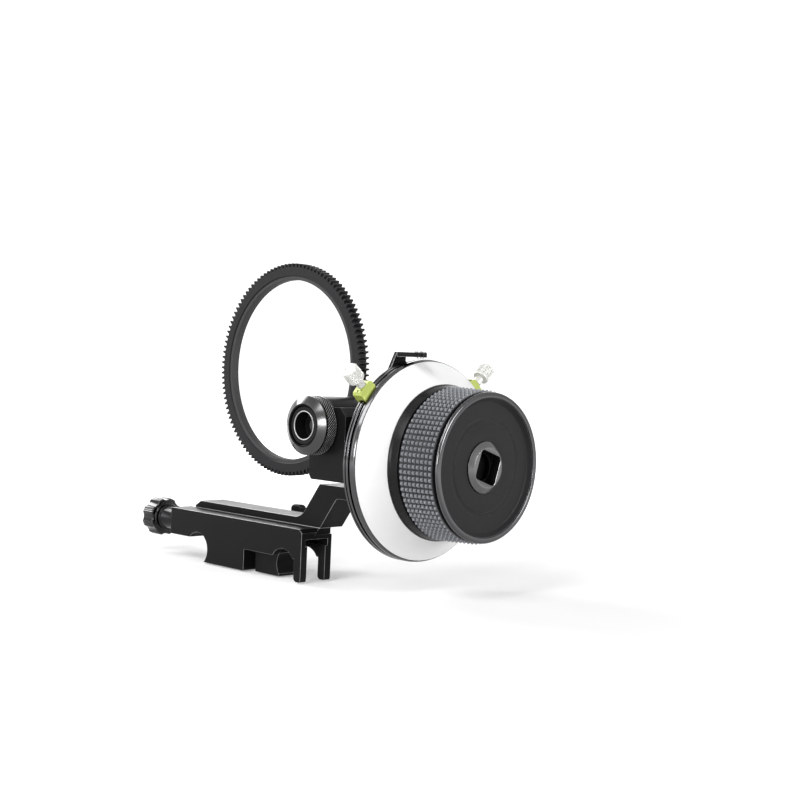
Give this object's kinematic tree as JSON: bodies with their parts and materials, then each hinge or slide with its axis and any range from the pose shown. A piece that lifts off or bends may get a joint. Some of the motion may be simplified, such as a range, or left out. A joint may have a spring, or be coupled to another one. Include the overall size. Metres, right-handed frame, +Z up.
{
  "type": "follow focus unit",
  "caption": "Rod-mounted follow focus: a ribbed hand wheel with a marking disc and adjustable stops drives a lens gear ring through a right-angle gearbox on a sliding arm.",
  "frame": {"origin": "midway between the two support rod axes, at the middle of the rod clamp's depth", "axes": "+X out to the hand wheel, +Y to the rear along the rods, +Z up"},
  "size_m": [0.1877, 0.092, 0.1381],
  "materials": {
    "black_anodised": "satin black anodised",
    "black_polished": "polished black anodised",
    "steel": "turned",
    "black_screw": "black oxide",
    "bronze": "turned",
    "gear_steel": "hobbed",
    "magnet": "nickel plated",
    "white_disc": "matt white, for a marker pen",
    "grip_rubber": "ribbed",
    "stop_green": "yellow-green anodised",
    "white_screw": "knurled, bright",
    "ring_black": "moulded",
    "liner_rubber": "smooth"
  },
  "bodies": {
    "rod_clamp": {"clamp_body": "black_anodised", "clamp_bush": "bronze"},
    "clamp_knob": {"knob_head": "black_polished", "knob_neck": "black_polished", "clamp_screw": "steel", "screw_circlip": "steel"},
    "jaw": {"sliding_jaw": "black_anodised"},
    "carriage": {"support_arm": "black_anodised", "arm_screws": "black_screw", "slide_guide": "black_anodised", "guide_screws": "black_screw", "gearbox_housing": "black_anodised", "gearbox_cover": "black_anodised", "cover_screws": "black_screw", "side_cap": "black_anodised", "front_bush": "bronze", "middle_bush": "bronze", "rear_bush": "bronze", "inner_wheel_bush": "bronze", "outer_wheel_bush": "bronze", "index_bracket": "black_anodised", "index_screws": "black_screw", "index_nut": "steel"},
    "lock": {"lock_lever": "black_anodised", "lever_stud": "steel"},
    "hand_wheel": {"wheel_shaft": "steel", "cross_gear_on_wheel": "gear_steel", "back_plate": "black_anodised", "disc_magnets": "magnet", "hub_screws": "black_screw", "marking_disc": "white_disc", "wheel_flange": "black_anodised", "grip_sleeve": "grip_rubber", "end_cap": "black_anodised", "crank_socket": "steel"},
    "stop_a": {"stop_block_a": "stop_green"},
    "stop_a_screw": {"stop_screw_a": "white_screw"},
    "stop_b": {"stop_block_b": "stop_green"},
    "stop_b_screw": {"stop_screw_b": "white_screw"},
    "drive": {"drive_shaft": "steel", "drive_gear": "gear_steel", "cross_gear_on_drive": "gear_steel", "output_socket": "steel"},
    "collar": {"lock_collar": "black_polished"},
    "lens_ring": {"lens_gear_ring": "ring_black", "ring_liner": "liner_rubber"}
  },
  "joints": [
    {"name": "knob_turn", "type": "hinge", "parent": "rod_clamp", "child": "clamp_knob", "pos_m": [-0.07, 0, 0.0103], "axis": [1, 0, 0], "range_deg": [0, 1800]},
    {"name": "jaw_slide", "type": "slide", "parent": "rod_clamp", "child": "jaw", "axis": [1, 0, 0], "range_m": [-0.003, 0]},
    {"name": "carriage_slide", "type": "slide", "parent": "rod_clamp", "child": "carriage", "axis": [1, 0, 0], "range_m": [0, 0.02]},
    {"name": "lock_lever_turn", "type": "hinge", "parent": "rod_clamp", "child": "lock", "pos_m": [0, 0.0154, 0.0116], "axis": [0, 1, 0], "range_deg": [0, 90]},
    {"name": "wheel_turn", "type": "hinge", "parent": "carriage", "child": "hand_wheel", "pos_m": [0.079, 0.02705, 0.04844], "axis": [1, 0, 0], "range_deg": [-16, 50]},
    {"name": "stop_a_shift", "type": "hinge", "parent": "hand_wheel", "child": "stop_a", "pos_m": [0.079, 0.02705, 0.04844], "axis": [1, 0, 0], "range_deg": [0, 20]},
    {"name": "stop_a_screw_turn", "type": "hinge", "parent": "stop_a", "child": "stop_a_screw", "pos_m": [0.0748, -0.01086, 0.08105], "axis": [0, -0.7581, 0.6521], "range_deg": [0, 360]},
    {"name": "stop_b_shift", "type": "hinge", "parent": "hand_wheel", "child": "stop_b", "pos_m": [0.079, 0.02705, 0.04844], "axis": [1, 0, 0], "range_deg": [-20, 0]},
    {"name": "stop_b_screw_turn", "type": "hinge", "parent": "stop_b", "child": "stop_b_screw", "pos_m": [0.0748, 0.06284, 0.08336], "axis": [0, 0.7157, 0.6984], "range_deg": [0, 360]},
    {"name": "drive_turn", "type": "hinge", "parent": "carriage", "child": "drive", "pos_m": [0.0545, 0.017, 0.06202], "axis": [0, 1, 0], "range_deg": [-36, 12]},
    {"name": "collar_turn", "type": "hinge", "parent": "drive", "child": "collar", "pos_m": [0.0545, -0.017, 0.06202], "axis": [0, 1, 0], "range_deg": [0, 30]},
    {"name": "lens_ring_turn", "type": "hinge", "parent": "rod_clamp", "child": "lens_ring", "pos_m": [0, 0.0183, 0.0841], "axis": [0, 1, 0], "range_deg": [-2.8, 8.6]}
  ],
  "couplings": [
    {"joint": "jaw_slide", "follows": "knob_turn", "m_per_rad": -0.000095492},
    {"joint": "drive_turn", "follows": "wheel_turn", "ratio": -0.71429},
    {"joint": "lens_ring_turn", "follows": "wheel_turn", "ratio": 0.16807}
  ]
}
